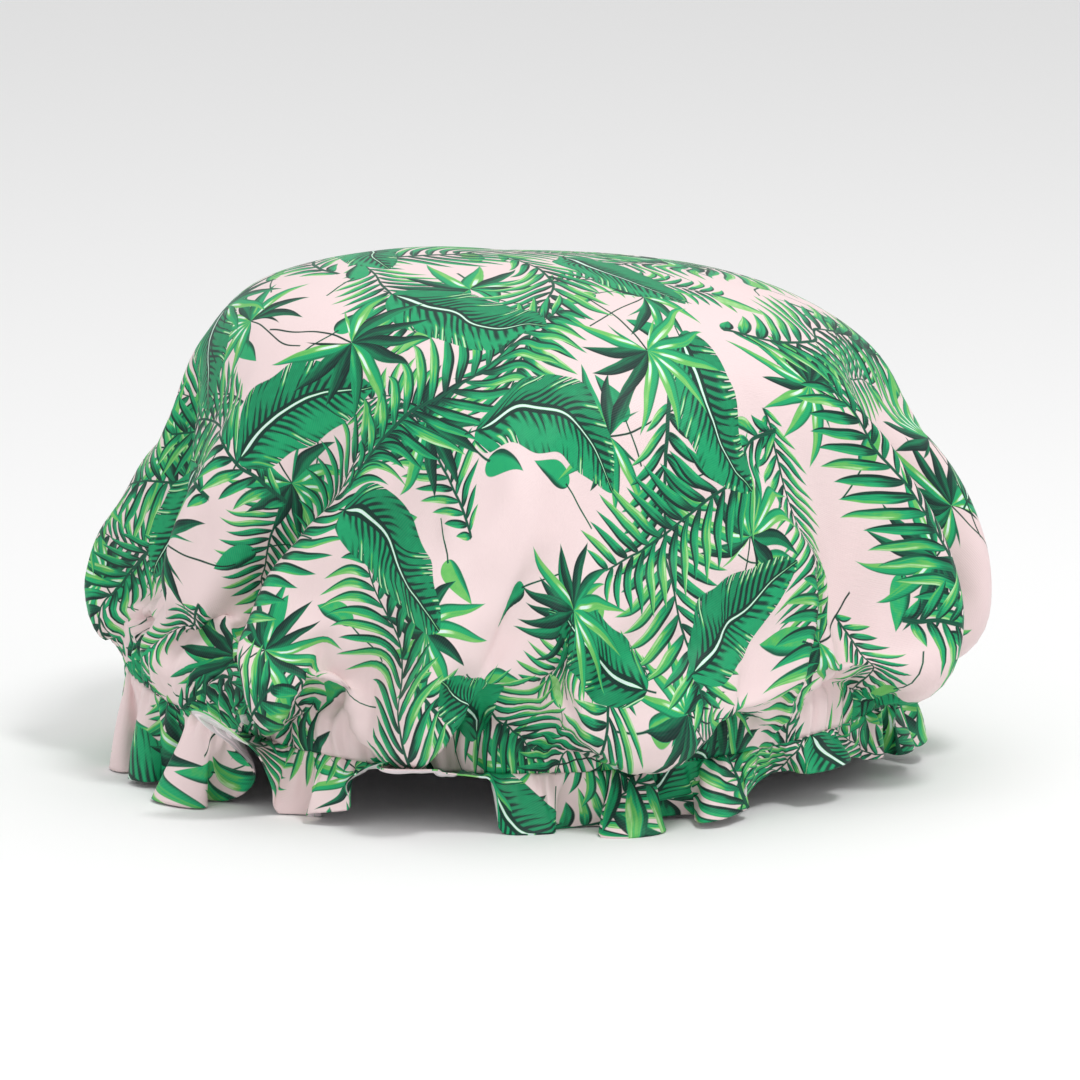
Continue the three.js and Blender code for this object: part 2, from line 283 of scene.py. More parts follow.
def crown_profiles(angle, count):
    """Points evenly spaced down each profile of the crown, and the profiles' lengths. Each profile is a
    smooth curve through the top and the rings, pulled in where the folds are."""
    half = np.array([CROWN_WIDTH, CROWN_DEPTH, CROWN_WIDTH, CROWN_DEPTH]) / 2
    foot = casing_foot(angle)
    top = np.array([CROWN_MIDDLE[0] - APEX_SHARE * CROWN_WIDTH / 2, CROWN_MIDDLE[1], CROWN_HEIGHT])
    knots = [np.broadcast_to(top, (len(angle), 3))]
    for i, (height, reach, fold) in enumerate(RING_SHARES):
        deep, lean = folds_at(angle, (i + 1) / len(RING_SHARES))
        far = oval(angle, half * reach) - FOLD_DEPTH * fold * deep
        turned = angle + OVERHANG * fold * lean / far
        lift = FOLD_LIFT * deep if i == len(RING_SHARES) - 1 else 0
        level = foot + (CROWN_HEIGHT - foot) * around(height, angle) + lift
        x = CROWN_MIDDLE[0] + far * np.cos(turned)
        y = CROWN_MIDDLE[1] + far * np.sin(turned)
        knots.append(np.stack([x, y, level], -1))
    knots = np.array([*knots, on_casing(angle, CASING_HEIGHT), on_casing(angle, 0.0)])
    across = 2 * top - knots[1]
    across[:, 2] = knots[1][:, 2]
    knots = np.array([across, *knots, 2 * knots[-1] - knots[-2]])
    steps = np.linspace(0, len(knots) - 3, PROFILE_STEPS * (len(knots) - 3) + 1)
    start = np.minimum(steps.astype(int), len(knots) - 4)
    curve = cubic([knots[start + k] for k in range(4)], (steps - start)[:, None, None])
    run = np.cumsum(np.linalg.norm(np.diff(curve, axis=0, prepend=curve[:1]), axis=-1), axis=0)
    place = np.linspace(0, 1, count)
    even = [
        [np.interp(place, run[:, j] / run[-1, j], curve[:, j, axis]) for axis in range(3)]
        for j in range(len(angle))
    ]
    return np.array(even).transpose(2, 0, 1), run[-1]


def grid_normals(grid):
    """Unit normals of a closed ring of rows, from the slopes down and round it."""
    round_it = np.roll(grid, -1, 1) - np.roll(grid, 1, 1)
    down = np.gradient(grid, axis=0)
    normal = np.cross(down, round_it)
    return normal / np.maximum(np.linalg.norm(normal, axis=-1, keepdims=True), 1e-12)


def ring_lengths(grid):
    """The length round each row."""
    return np.linalg.norm(np.roll(grid, -1, 1) - grid, axis=-1).sum(1)


def pleat_depths(needed, length, pleats):
    """How deep even pleats are that make rows so many times longer, read off a table of wavy lines."""
    share = np.linspace(0, 1.2, 240)
    x = np.linspace(0, FULL_ANGLE, 400, endpoint=False)
    longer = np.sqrt(1 + (FULL_ANGLE * share[:, None] * np.sin(x)) ** 2).mean(1)
    return np.interp(needed, longer, share) * length / pleats


def drape(start, rest, faces, hold):
    """Lets a net of cloth settle from its start shape, with the lengths of its rest shape. hold says how
    strongly each point is kept where it starts, from 0 to 1."""
    mesh = bpy.data.meshes.new("net")
    mesh.from_pydata(start.tolist(), [], faces.tolist())
    net = bpy.data.objects.new("net", mesh)
    bpy.context.scene.collection.objects.link(net)
    net.shape_key_add(name="Basis")
    key = net.shape_key_add(name="rest")
    key.data.foreach_set("co", rest.ravel())
    key.value = 0
    group = net.vertex_groups.new(name="hold")
    hold = np.round(hold, 3)
    for weight in np.unique(hold[hold > 0]):
        group.add(np.nonzero(hold == weight)[0].tolist(), float(weight), "REPLACE")
    modifier = net.modifiers.new("Cloth", "CLOTH")
    cloth = modifier.settings
    for setting, value in CLOTH_SETTINGS.items():
        setattr(cloth, setting, value)
    cloth.rest_shape_key = key
    cloth.vertex_group_mass = "hold"
    cloth.effector_weights.gravity = GRAVITY_SHARE
    modifier.collision_settings.use_collision = False
    modifier.collision_settings.use_self_collision = True
    modifier.collision_settings.self_distance_min = LAYERS_APART
    modifier.collision_settings.collision_quality = 3
    modifier.point_cache.frame_start, modifier.point_cache.frame_end = 1, DRAPE_FRAMES
    scene = bpy.context.scene
    scene.frame_start, scene.frame_end = 1, DRAPE_FRAMES
    for number in range(1, DRAPE_FRAMES + 1):
        scene.frame_set(number)
    settled = net.evaluated_get(bpy.context.evaluated_depsgraph_get()).data
    out = np.empty(start.size)
    settled.vertices.foreach_get("co", out)
    bpy.data.objects.remove(net)
    scene.frame_set(1)
    return out.reshape(-1, 3)


def ring_net(rings):
    """A round net: ring k has 6k points. Gives each point's ring and angle, and the triangles."""
    ring = np.repeat(np.arange(rings + 1), np.maximum(6 * np.arange(rings + 1), 1))
    first = np.concatenate([[0], 1 + 3 * np.arange(rings) * np.arange(1, rings + 1)])
    angle = (np.arange(len(ring)) - first[ring]) / np.maximum(6 * ring, 1) * FULL_ANGLE
    faces = []
    for k in range(1, rings + 1):
        j = np.arange(6 * k)
        sector, place = j // k, j % k
        within = max(6 * (k - 1), 1)
        here = first[k] + j
        after = first[k] + (j + 1) % (6 * k)
        inner = first[k - 1] + (sector * (k - 1) + place) % within
        inner_after = first[k - 1] + (sector * (k - 1) + place + 1) % within
        faces.append(np.stack([inner, here, after], -1))
        both = place < k - 1
        faces.append(np.stack([inner, after, inner_after], -1)[both])
    return ring, angle, first, np.concatenate(faces)


def ring_table(points, first, rings, columns):
    """The net's rings read at even angles, each by cubic curves through its own points."""
    rows = [np.broadcast_to(points[0], (columns, 3))]
    for k in range(1, rings + 1):
        ring = points[first[k] : first[k] + 6 * k]
        place = np.arange(columns) / columns * len(ring)
        start = place.astype(int)
        four = [ring[(start + step) % len(ring)] for step in (-1, 0, 1, 2)]
        rows.append(cubic(four, (place - start)[:, None]))
    return np.array(rows)


def gather_wave(angle):
    """Fine gathers round the casing, from -1 to 1: two trains of waves whose phase wanders."""
    wander = 2.1 * np.sin(5 * angle + 1) + 1.4 * np.sin(13 * angle) + 0.9 * np.sin(29 * angle + 2)
    return 0.65 * np.cos(GATHERS[0] * angle + wander) + 0.35 * np.cos(GATHERS[1] * angle - 1.3 * wander)


def clear_of_casing(points):
    """Moves points that lie beside the casing out to its face, and less the further they lie above it."""
    off = (points[..., :2] - OPENING_MIDDLE) / OPENING_HALF
    angle = np.arctan2(off[..., 1], off[..., 0])
    above = points[..., 2] - casing_foot(angle)
    share = smooth(above, CASING_CLEAR + CASING_CLEAR_FADE, CASING_CLEAR)
    grow = 1 + share * (np.maximum(1, 1 / np.linalg.norm(off, axis=-1)) - 1)
    moved = points.copy()
    moved[..., :2] = OPENING_MIDDLE + (points[..., :2] - OPENING_MIDDLE) * grow[..., None]
    return moved


def crown_grid():
    """The crown's outer face as rows of points from near its top to the casing's foot, its top point, how far
    down the flat cloth each row is, and how far down it ends. The form is cut wider and longer by its spare
    cloth, laid back on itself in pleats, and settled. Then it is read on a grid, smoothed and gathered."""
    angle = np.linspace(0, FULL_ANGLE, FORM_COLUMNS, endpoint=False)
    form, lengths = crown_profiles(angle, RINGS + 1)
    length = lengths.mean()
    down = np.linspace(0, length, RINGS + 1)
    way = down / length
    spare = np.interp(way, SPARE_WAYS, SPARE_SHARES)
    wide = CROWN_MIDDLE + (form[..., :2] - CROWN_MIDDLE) * (1 + spare)[:, None, None]
    longer = 1 + SPARE_DOWN * smooth(way[1:, None], *SPARE_DOWN_WAYS)
    run = longer * np.linalg.norm(np.diff(form, axis=0), axis=-1)
    step = run**2 - np.sum(np.diff(wide, axis=0) ** 2, -1)
    fall = np.sign(np.diff(form[..., 2], axis=0)) * np.sqrt(np.maximum(step, 0))
    level = form[:1, :, 2] + np.concatenate([0 * fall[:1], np.cumsum(fall, axis=0)])
    rest_form = np.concatenate([wide, level[..., None]], -1)
    depth = pleat_depths(1 + spare, ring_lengths(form), PLEATS) * smooth(way, *PLEAT_FADE)

    ring, at, first, faces = ring_net(RINGS)
    bend = sum(share * np.sin(count * at + phase) for count, share, phase in PLEAT_BENDS)
    pleat = (depth[ring] * np.cos(PLEATS * at + bend))[:, None]
    place = at / FULL_ANGLE * len(angle)
    low = place.astype(int)
    share = (place - low)[:, None]

    def read(table):
        return table[ring, low % len(angle)] * (1 - share) + table[ring, (low + 1) % len(angle)] * share

    start = read(form) + read(grid_normals(form)) * pleat
    rest = read(rest_form)
    hold = np.maximum(HOLD_SOFT, HOLD_TOP * smooth(way[ring], *HOLD_WAYS))
    hold = np.where((ring < HELD_RINGS) | (down[ring] > length - HELD_FOOT), 1.0, hold)
    start = drape(start, rest, faces, hold)

    columns = CROWN_COLUMNS
    table = ring_table(start, first, RINGS, columns)
    top = table[0, 0].copy()
    table = np.array([np.roll(table[1], columns // 2, 0), *table, 2 * table[-1] - table[-2]])
    dense = np.linspace(0, 1, CROWN_ROWS)
    row = FIRST_RING + (RINGS - FIRST_RING) * (1 - (1 - dense) ** ROW_POWER)
    low = np.minimum(row.astype(int), RINGS - 1)
    grid = cubic([table[low + step] for step in range(4)], (row - low)[:, None, None])
    down = row / RINGS * length
    round_it = np.linspace(0, FULL_ANGLE, columns, endpoint=False)
    from_foot = length - down[:, None]
    from_casing = length - CASING_HEIGHT - down[:, None]
    reach = GATHER_FADE * (1 + 0.5 * np.sin(11 * round_it + 2) * np.sin(23 * round_it))
    near = np.clip(1 - from_casing / reach, 0, 1) ** 2
    stitched = 1 - STITCHED_FLAT * smooth(np.abs(from_casing), 1.5 * MM, 0.0)
    stitched -= STITCHED_FLAT * smooth(from_foot, 2 * MM, 0.0)
    depth = GATHER_DEPTH * near * stitched * (gather_wave(round_it) + GATHER_PROUD)
    for _ in range(2):
        grid = (np.roll(grid, 1, 1) + 2 * grid + np.roll(grid, -1, 1)) / 4
        grid[1:-1] = (grid[:-2] + 2 * grid[1:-1] + grid[2:]) / 4
    grid = clear_of_casing(grid)
    return grid + grid_normals(grid) * depth[..., None], top, down, length


def spread(cells, reach, blend):
    """Blends each cell with the ones up to a reach away: round the ring, then up and down it."""
    shifted = [np.roll(cells, step, 1) for step in range(-reach, reach + 1)]
    cells = blend(shifted, axis=0)
    padded = np.pad(cells, ((reach, reach), (0, 0)), "edge")
    return blend([padded[step : step + len(cells)] for step in range(2 * reach + 1)], axis=0)


def film_grid(cloth):
    """The film's outer face: rows from near its top to the casing, and its top point. In a space where the
    opening is round, and seen from its middle, the film lies nearer than all the cloth in the directions
    round it: each distance is the least one of the cells round its own, and then the mean of those. The last
    row runs out to the casing's edge."""
    middle = np.array([*OPENING_MIDDLE, FILM_MIDDLE])
    scale = np.array([*OPENING_HALF, OPENING_HALF.mean()])
    angle = np.arange(FILM_COLUMNS) / FILM_COLUMNS * FULL_ANGLE
    edge = (on_casing(angle, CASING_HEIGHT + 0.5 * MM, FILM_EDGE_INSET) - middle) / scale
    lowest = np.arccos(edge[:, 2] / np.linalg.norm(edge, axis=-1))
    off = (cloth.reshape(-1, 3) - middle) / scale
    far = np.linalg.norm(off, axis=-1)
    column = np.round(np.arctan2(off[:, 1], off[:, 0]) / FULL_ANGLE * FILM_COLUMNS).astype(int) % FILM_COLUMNS
    row = np.round(np.arccos(off[:, 2] / far) / lowest[column] * FILM_ROWS - 1).astype(int)
    cells = np.full((FILM_ROWS, FILM_COLUMNS), far.max())
    kept = (row >= 0) & (row < FILM_ROWS)
    np.minimum.at(cells, (row[kept], column[kept]), far[kept])
    cells = spread(spread(cells, FILM_SOFT, np.min), FILM_SOFT, np.mean) - FILM_INSET / scale[2]
    way = (np.arange(FILM_ROWS)[:, None] + 1) / FILM_ROWS
    cells += (np.linalg.norm(edge, axis=-1) - cells) * smooth(way, FILM_RUN_OUT, 1.0)
    fall = way * lowest
    place = [np.sin(fall) * np.cos(angle), np.sin(fall) * np.sin(angle), np.cos(fall)]
    top = middle + [0, 0, cells[0].mean() * scale[2]]
    return middle + np.stack(place, -1) * cells[..., None] * scale, top


def hem_at(share):
    """The hem's reach and height between its listed places, eased from each to the next."""
    table = np.array([*HEM_SHARES, (1.0, *HEM_SHARES[0][1:])])
    here = np.searchsorted(table[:, 0], share, side="right") - 1
    here = np.clip(here, 0, len(table) - 2)
    a, b = table[here], table[here + 1]
    eased = smooth((share - a[:, 0]) / (b[:, 0] - a[:, 0]), 0, 1)[:, None]
    return (a[:, 1:] + (b[:, 1:] - a[:, 1:]) * eased).T * RUFFLE_DEPTH


def ruffle_grid():
    """The ruffle's outer face: rows from the casing's foot to the hem. Each column runs out and down, or up
    into an arch, to the hem's place. Waves in and out grow on the way down and sway along the hem, so that
    their crests curl over. Shorter creases are deepest halfway. Fine gathers fade out below the casing."""
    share = np.arange(RUFFLE_COLUMNS) / RUFFLE_COLUMNS
    angle = share * FULL_ANGLE
    foot = on_casing(angle, -RUFFLE_GAP)
    out = np.stack([np.cos(angle) / OPENING_HALF[0], np.sin(angle) / OPENING_HALF[1], 0 * angle], -1)
    out /= np.linalg.norm(out, axis=-1, keepdims=True)
    along = np.stack([-out[:, 1], out[:, 0], 0 * angle], -1)
    reach, height = hem_at(share)
    way = np.linspace(0, 1, RUFFLE_ROWS)[:, None]
    wander = 1.2 * np.sin(3 * angle) + 0.6 * np.sin(7 * angle + 2)
    phase = angle * RUFFLE_WAVES + wander + 0.6 * way * np.sin(5 * angle + 1)
    size = 1 + 0.35 * np.sin(angle * 5 + 1) + 0.3 * np.sin(angle * 11 + 3)
    wave = RUFFLE_WAVE * size * way**0.8 * (np.cos(phase) + 0.22 * np.cos(2 * phase + 1))
    crease_phase = CREASES * angle + 3 * wander + 1.2 * way * np.sin(17 * angle)
    crease_size = 0.7 + 0.3 * np.sin(19 * angle + 2)
    wave = wave + CREASE * crease_size * 4 * way * (1.15 - way) * np.cos(crease_phase)
    sway = RUFFLE_SWAY * way * size * np.sin(2 * phase)
    sway = sway + CREASE * way * (1.2 - way) * np.sin(2 * crease_phase)
    rise = np.where(height > foot[:, 2], way**1.5, way)
    grid = np.broadcast_to(foot, (RUFFLE_ROWS, RUFFLE_COLUMNS, 3)).copy()
    grid[..., 2] = foot[:, 2] + (height - foot[:, 2]) * rise
    grid[..., 2] += 0.8 * MM * way * np.cos(phase - 1) * smooth(height, 0, 3 * MM)
    grid[..., 2] = np.maximum(grid[..., 2], HEM_CLEAR)
    grid += out * (reach * way**0.8 + wave)[..., None] + along * sway[..., None]
    down = np.cumsum(np.linalg.norm(np.diff(grid, axis=0, prepend=grid[:1]), axis=-1), axis=0)
    fade = GATHER_DROP * (1 + 0.5 * np.sin(9 * angle) * np.sin(31 * angle + 1))
    near = np.clip(1 - down / fade, 0, 1) ** 1.5
    stitched = 1 - STITCHED_FLAT * smooth(down, 2 * MM, 0.0)
    depth = GATHER_DEPTH * near * stitched * (gather_wave(angle) + GATHER_PROUD)
    return grid + grid_normals(grid) * depth[..., None]


def add_piece(name, points, faces, corners, material, sides=None):
    """A mesh piece from points, faces and each face corner's place on the flat cloth. sides gives each
    face's material where the piece has several, and material is then a list."""
    mesh = bpy.data.meshes.new(name)
    mesh.from_pydata(np.asarray(points).tolist(), [], faces)
    flat = mesh.uv_layers.new(name="flat")
    flat.data.foreach_set("uv", np.asarray(corners, np.float32).ravel())
    for finish in material if isinstance(material, (list, tuple)) else [material]:
        mesh.materials.append(finish)
    if sides is not None:
        mesh.polygons.foreach_set("material_index", np.asarray(sides, np.int32))
    mesh.polygons.foreach_set("use_smooth", np.ones(len(mesh.polygons), bool))
    mesh.update()
    piece = bpy.data.objects.new(name, mesh)
    bpy.context.scene.collection.objects.link(piece)
    return piece


def loops_piece(name, loops, flat, material, sides, poles=None):
    """A closed skin through loops of points that run down the outside and back up the inside. flat has one
    more column than the loops, for the seam. Two poles close a dome. Without them the last loop meets the
    first."""
    count, columns = loops.shape[:2]
    last = count - 1 if poles else count
    i, j = np.mgrid[0:last, 0:columns]
    below, after = (i + 1) % count, (j + 1) % columns
    quads = np.stack([i * columns + j, below * columns + j, below * columns + after, i * columns + after], -1)
    corner = [flat[i, j], flat[below, j], flat[below, j + 1], flat[i, j + 1]]
    corners = np.stack(corner, 2).reshape(-1, 2)
    faces = quads.reshape(-1, 4).tolist()
    side = np.repeat(sides[:last], columns)
    points = loops.reshape(-1, 3)
    if poles:
        j = np.arange(columns)
        after = (j + 1) % columns
        start = len(points)
        points = np.concatenate([points, poles])
        bottom = (count - 1) * columns
        faces += np.stack([np.full(columns, start), j, after], -1).tolist()
        faces += np.stack([np.full(columns, start + 1), bottom + after, bottom + j], -1).tolist()
        centre = np.zeros((columns, 2))
        top_corners = np.stack([centre, flat[0, :-1], flat[0, 1:]], 1).reshape(-1, 2)
        end_corners = np.stack([centre, flat[-1, 1:], flat[-1, :-1]], 1).reshape(-1, 2)
        corners = np.concatenate([corners, top_corners, end_corners])
        side = np.concatenate([side, np.full(columns, sides[0]), np.full(columns, sides[-1])])
    return add_piece(name, points, faces, corners, material, side)


def two_skins(grid, thickness):
    """An outer face and, back up its inside, the inner face a thickness away."""
    inner = grid - grid_normals(grid) * thickness
    return np.concatenate([grid, inner[::-1]])


def dome(name, outer, top, down, thickness, material, sides):
    """A closed shell cut as a flat circle: rows down from its top, each at its own distance from the circle's
    middle, and an inner skin back up."""
    turn = np.linspace(0, FULL_ANGLE, outer.shape[1] + 1)
    flat = down[:, None, None] * np.stack([np.cos(turn), np.sin(turn)], -1)
    flat = np.concatenate([flat, flat[::-1]])
    poles = [top, top - [0, 0, thickness]]
    return loops_piece(name, two_skins(outer, thickness), flat, material, sides, poles)


def casing_band(name, insets, heights, material, columns):
    """A closed ring that carries a profile round the casing: down its outside and up its inside. Its flat
    place is the length along it and the way round the profile."""
    angle = np.linspace(0, FULL_ANGLE, columns, endpoint=False)
    loops = np.array([on_casing(angle, height, inset) for inset, height in zip(insets, heights)])
    turns = np.linspace(0, 1, columns + 1) * ring_lengths(loops).mean()
    profile = np.stack([insets, heights], -1)
    run = np.cumsum(np.linalg.norm(np.diff(profile, axis=0, prepend=profile[:1]), axis=-1))
    flat = np.stack(np.meshgrid(turns, run), -1)
    return loops_piece(name, loops, flat, material, np.zeros(len(loops), int))


def ribbed(inset, thick, width, ribs, deep, both):
    """The profile of a ribbed band: insets and heights, with round ribs on its inner face or on both."""
    across = np.linspace(0, 1, 10 * ribs + 1)
    rib = deep * (1 - abs(np.sin(math.pi * ribs * across)))
    outer = inset + (rib if both else 0 * rib)
    inner = inset + thick - rib
    return np.concatenate([outer, inner]), np.concatenate([width * (1 - across), width * across])


def tubes(name, paths, radius, away, material, sides=8):
    """Round threads along paths with closed ends. away is a direction square to each path, which turns the
    thread's section. Flat places are the length along a thread and the way round it."""
    count, steps = paths.shape[:2]
    ahead = np.gradient(paths, axis=1)
    ahead /= np.linalg.norm(ahead, axis=-1, keepdims=True)
    beside = np.cross(ahead, away)
    beside /= np.linalg.norm(beside, axis=-1, keepdims=True)
    above = np.cross(beside, ahead)
    turn = np.linspace(0, FULL_ANGLE, sides, endpoint=False)
    ends = np.sqrt(1 - np.linspace(-0.97, 0.97, steps) ** 8) * radius
    section = beside[:, :, None] * np.cos(turn)[:, None] + above[:, :, None] * np.sin(turn)[:, None]
    points = (paths[:, :, None] + section * ends[:, None, None]).reshape(-1, 3)
    thread, step, side = np.mgrid[0:count, 0 : steps - 1, 0:sides]
    after = (side + 1) % sides
    here = (thread * steps + step) * sides
    quads = np.stack([here + side, here + after, here + sides + after, here + sides + side], -1)
    length = np.cumsum(np.linalg.norm(np.diff(paths, axis=1, prepend=paths[:, :1]), axis=-1), axis=1)
    run, next_run = length[thread, step], length[thread, step + 1]
    turn_here, turn_after = side / sides, (side + 1) / sides
    corner = [(run, turn_here), (run, turn_after), (next_run, turn_after), (next_run, turn_here)]
    corners = np.stack([np.stack(pair, -1) for pair in corner], -2).reshape(-1, 2)
    first = np.arange(count)[:, None] * steps * sides + np.arange(sides)
    faces = quads.reshape(-1, 4).tolist() + first[:, ::-1].tolist() + (first + (steps - 1) * sides).tolist()
    caps = np.zeros((2 * count * sides, 2))
    return add_piece(name, points, faces, np.concatenate([corners, caps]), material)


def stitch_row(name, level, material):
    """A row of stitches on the tape's inner face. Each thread bows out of the tape and dives back into it."""
    middle = np.arange(STITCHES)[:, None] + 0.5
    t = np.linspace(-0.5, 0.5, 11)
    angle = (middle + STITCH_SHARE * t) / STITCHES * FULL_ANGLE
    bow = THREAD * (0.7 - 4.8 * t * t)
    paths = on_casing(angle, level, TAPE_INSET + TAPE_THICK + bow)
    away = paths - np.array([*OPENING_MIDDLE, 0])
    away[..., 2] = 0
    return tubes(name, paths, THREAD / 2, away, material)


def bar_tack(name, material):
    """The close zigzag of thread that joins the elastic's two ends at the back."""
    t = np.linspace(0, 1, 16 * TACK_PASSES + 1)
    x = (t - 0.5) * TACK_SIZE[0]
    z = TACK_SIZE[1] / 2 * np.arcsin(0.96 * np.sin(math.pi * TACK_PASSES * (t - 0.5))) / math.asin(0.96)
    middle = on_casing(np.array([FULL_ANGLE / 4]), CASING_HEIGHT / 2, TACK_INSET)[0]
    path = middle + np.stack([x, 0 * x, z], -1)
    return tubes(name, path[None], THREAD / 2, np.array([0.0, 1.0, 0.0]), material)


class Value:
    """A shader value: one output of a node. Operators on values add Math nodes to their tree."""

    def __init__(self, tree, socket=None):
        self.tree = tree
        self.socket = socket

    def node(self, kind, settings, inputs, output=0):
        """Adds a node: its settings first, then the values or links of its inputs. Gives one output."""
        made = self.tree.nodes.new(kind)
        for name, setting in settings.items():
            if name == "stops":
                fill_ramp(made.color_ramp, setting)
            else:
                setattr(made, name, setting)
        for name, value in inputs.items():
            if isinstance(value, Value):
                self.tree.links.new(value.socket, made.inputs[name])
            else:
                made.inputs[name].default_value = value
        return Value(self.tree, made.outputs[output] if made.outputs else None)

    def math(self, operation, *others):
        return self.node("ShaderNodeMath", {"operation": operation}, dict(enumerate((self, *others))))

    def vector(self, operation, *others):
        return self.node("ShaderNodeVectorMath", {"operation": operation}, dict(enumerate((self, *others))))

    def reflected(self, operation, other):
        return self.node("ShaderNodeMath", {"operation": operation}, {0: other, 1: self})

    def __add__(self, other):
        return self.math("ADD", other)

    def __sub__(self, other):
        return self.math("SUBTRACT", other)

    def __mul__(self, other):
        return self.math("MULTIPLY", other)

    def __truediv__(self, other):
        return self.math("DIVIDE", other)

    def __rsub__(self, other):
        return self.reflected("SUBTRACT", other)

    def __abs__(self):
        return self.math("ABSOLUTE")

    __radd__ = __add__
    __rmul__ = __mul__

    def floor(self):
        return self.math("FLOOR")

    def root(self):
        return self.math("SQRT")

    def sine(self):
        return self.math("SINE")

    def least(self, other):
        return self.math("MINIMUM", other)

    def most(self, other):
        return self.math("MAXIMUM", other)

    def clamped(self):
        return self.node("ShaderNodeClamp", {}, {0: self})

    def ease(self, low, high):
        """Goes smoothly from 0 at low to 1 at high, where high may be the lower number."""
        inputs = {"Value": self, "From Min": low, "From Max": high}
        return self.node("ShaderNodeMapRange", {"interpolation_type": "SMOOTHSTEP"}, inputs)

    def towards(self, other, share):
        """This number where share is 0, the other where it is 1."""
        return self.node("ShaderNodeMix", {"data_type": "FLOAT"}, {0: share, 2: self, 3: other})

    def tinted(self, other, share):
        """This colour where share is 0, the other where it is 1."""
        return share.between(self, other)

    def between(self, low, high):
        """The colour between two, with this number as the second one's share."""
        return self.node("ShaderNodeMix", {"data_type": "RGBA"}, {0: self, 6: low, 7: high}, 2)

    def parts(self):
        """The three numbers of a vector or colour."""
        first = self.node("ShaderNodeSeparateXYZ", {}, {0: self})
        outputs = first.socket.node.outputs
        return [Value(self.tree, output) for output in outputs]

    def noise(self, scale, detail=2.0):
        """Smooth noise about 0.5 at a point."""
        return self.node("ShaderNodeTexNoise", {}, {"Vector": self, "Scale": scale, "Detail": detail})

    def strokes(self, across, fine):
        """Brush strokes, from about -0.5 to 0.5, that run along this number and change quickly across."""
        place = self.node("ShaderNodeCombineXYZ", {}, {0: across * fine, 1: self})
        return place.noise(1.0, 3.0) - 0.5


def fill_ramp(ramp, stops):
    """Sets a ramp's stops from pairs of a place and a colour."""
    while len(ramp.elements) < len(stops):
        ramp.elements.new(0.5)
    for element, (place, colour) in zip(ramp.elements, stops):
        element.position = place
        element.color = colour


def rgb(digits):
    """A colour written as six hexadecimal digits, as a linear colour."""
    parts = [int(digits[i : i + 2], 16) / 255 for i in (0, 2, 4)]
    return (*[p / 12.92 if p <= 0.04045 else ((p + 0.055) / 1.055) ** 2.4 for p in parts], 1)


# The print's ground in two tones, and its leaf tones from the darkest to the palest, each a flat patch with
# a narrow step to the next.
GROUND_TONES = rgb("f0dddc"), rgb("ead0d1")
LEAF_TONES = [
    (0.0, rgb("052824")),
    (0.15, rgb("06342b")),
    (0.19, rgb("074637")),
    (0.3, rgb("08573e")),
    (0.35, rgb("0b764f")),
    (0.47, rgb("0d8c5c")),
    (0.53, rgb("13a069")),
    (0.64, rgb("1fac6c")),
    (0.7, rgb("5ab75a")),
    (0.79, rgb("78c468")),
    (0.85, rgb("aedb9c")),
    (0.92, rgb("c6e6c2")),
    (0.97, rgb("daf0ea")),
]

# How soft the edge of the ink is, and how far the whole print wanders from true.
PRINT_EDGE = 0.22 * MM
PRINT_WANDER = 3.2 * MM


def motif_place(flat, size, turn, seed, spare):
    """A turned grid of square cells. Gives the place in a cell, shifted and turned by chance, and two of
    the cell's random numbers."""
    move = (0.37 * seed, 0.61 * seed, 0)
    scale = (1 / size, 1 / size, 0)
    mapped = {"Vector": flat, "Location": move, "Rotation": (0, 0, turn), "Scale": scale}
    grid = flat.node("ShaderNodeMapping", {}, mapped)
    number = grid.vector("FLOOR")
    drawn = {"Vector": number, "W": seed}
    luck = number.node("ShaderNodeTexWhiteNoise", {"noise_dimensions": "4D"}, drawn, 1)
    spin, keep, shade = luck.parts()
    corner = luck.vector("MULTIPLY", (spare, spare, 0)).vector("ADD", ((1 - spare) / 2, (1 - spare) / 2, 0))
    middle = grid.vector("FRACTION").vector("SUBTRACT", corner)
    spun = {"Vector": middle, "Angle": spin * 19}
    turned = middle.node("ShaderNodeVectorRotate", {"rotation_type": "Z_AXIS"}, spun)
    x, y, _ = turned.parts()
    return x, y, keep, shade


def luck_of(keep, shade, number):
    """A random number from 0 to 1 for a numbered leaflet of a motif."""
    mixed = number.node("ShaderNodeCombineXYZ", {}, {0: keep, 1: shade, 2: number})
    return mixed.node("ShaderNodeTexWhiteNoise", {"noise_dimensions": "3D"}, {"Vector": mixed})


def stem(far, x, thick, size, start, end):
    """A line of a thickness along x, from start to end."""
    inside = (x - start).least(end - x) * 200
    return ((thick - far) * (size / PRINT_EDGE)).least(inside).clamped()


